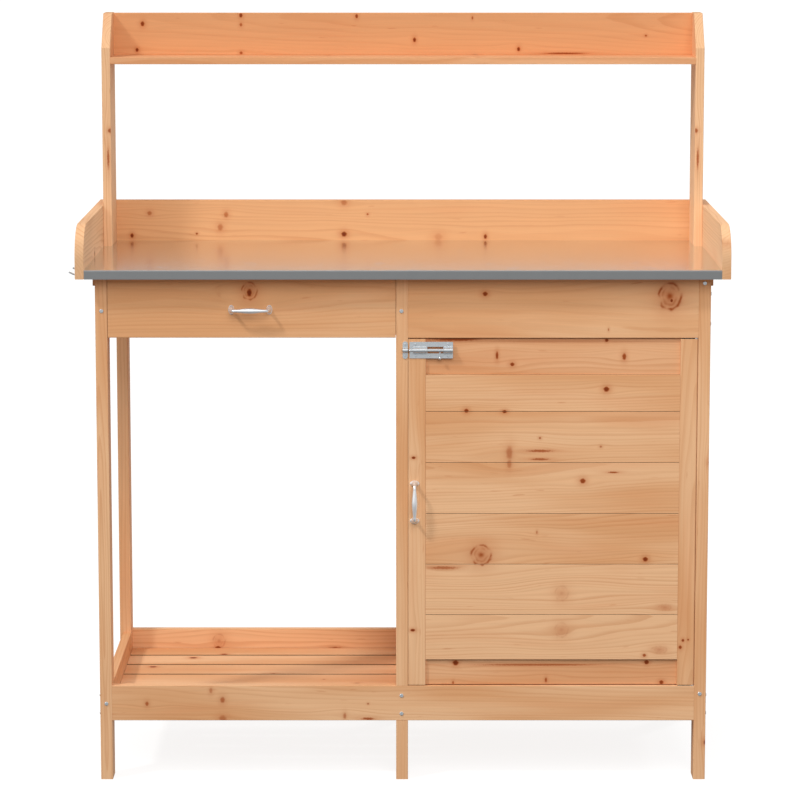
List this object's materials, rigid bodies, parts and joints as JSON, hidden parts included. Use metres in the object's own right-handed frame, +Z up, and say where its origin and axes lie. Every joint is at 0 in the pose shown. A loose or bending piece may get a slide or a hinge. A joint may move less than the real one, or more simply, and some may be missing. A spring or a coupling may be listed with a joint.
{
  "type": "potting bench",
  "caption": "Wooden potting bench with a steel-faced worktop, raised shelf, drawer, open slatted bay and a bolted cupboard door.",
  "frame": {"origin": "on the floor, under the middle of the worktop", "axes": "+X to the right seen from the front, +Y towards the wall behind, +Z up"},
  "size_m": [1.0952, 0.5, 1.273],
  "materials": {
    "fir": "satin clear coat",
    "fir_red": "satin clear coat",
    "galvanised": "satin",
    "zinc": "bright zinc plate",
    "chrome": "polished"
  },
  "bodies": {
    "bench": {"back_board": "fir", "bolt_keeper": "zinc", "cabinet_back": "fir", "cabinet_battens": "fir", "cabinet_divider": "fir", "cabinet_floor": "fir", "cabinet_side": "fir", "door_stop": "fir", "drawer_runners": "fir", "fascia": "fir", "floor_cleats": "fir", "frame_screws": "zinc", "hinge_frame_leaves": "zinc", "hinge_pins": "zinc", "leg_back_left": "fir", "leg_back_middle": "fir", "leg_back_right": "fir", "leg_front_left": "fir", "leg_front_middle": "fir", "leg_front_right": "fir", "lower_back_rail": "fir", "lower_front_rail": "fir", "lower_middle_rail": "fir", "lower_side_rail_left": "fir", "lower_side_rail_right": "fir", "post_left": "fir", "post_right": "fir", "shelf_slats": "fir", "side_board_left": "fir", "side_board_right": "fir", "tool_hooks": "zinc", "upper_back_board": "fir_red", "upper_back_rail": "fir", "upper_middle_rail": "fir", "upper_shelf": "fir_red", "upper_side_rail_left": "fir", "upper_side_rail_right": "fir", "worktop_battens": "fir", "worktop_board": "fir", "worktop_sheet": "galvanised"},
    "door": {"door_bottom_rail": "fir", "door_handle": "chrome", "door_planks": "fir", "door_screws": "zinc", "door_stile_left": "fir", "door_stile_right": "fir", "door_top_rail": "fir", "hinge_door_leaves": "zinc", "bolt_plate": "zinc", "bolt_guides": "zinc"},
    "bolt_rod": {"bolt_rod": "zinc"},
    "bolt_knob": {"bolt_knob": "zinc"},
    "drawer": {"drawer_back": "fir", "drawer_bottom": "fir", "drawer_front": "fir", "drawer_handle": "chrome", "drawer_screws": "zinc", "drawer_side_left": "fir", "drawer_side_right": "fir"}
  },
  "joints": [
    {"name": "door_hinge", "type": "hinge", "parent": "bench", "child": "door", "pos_m": [0.4866, -0.217, 0.457], "axis": [0, 0, 1], "range_deg": [0, 95]},
    {"name": "bolt_slide", "type": "slide", "parent": "door", "child": "bolt_rod", "axis": [-1, 0, 0], "range_m": [0, 0.02]},
    {"name": "knob_turn", "type": "hinge", "parent": "bolt_rod", "child": "bolt_knob", "pos_m": [0.0613, -0.224, 0.732], "axis": [-1, 0, 0], "range_deg": [0, 90]},
    {"name": "drawer_slide", "type": "slide", "parent": "bench", "child": "drawer", "axis": [0, -1, 0], "range_m": [0, 0.28]}
  ]
}
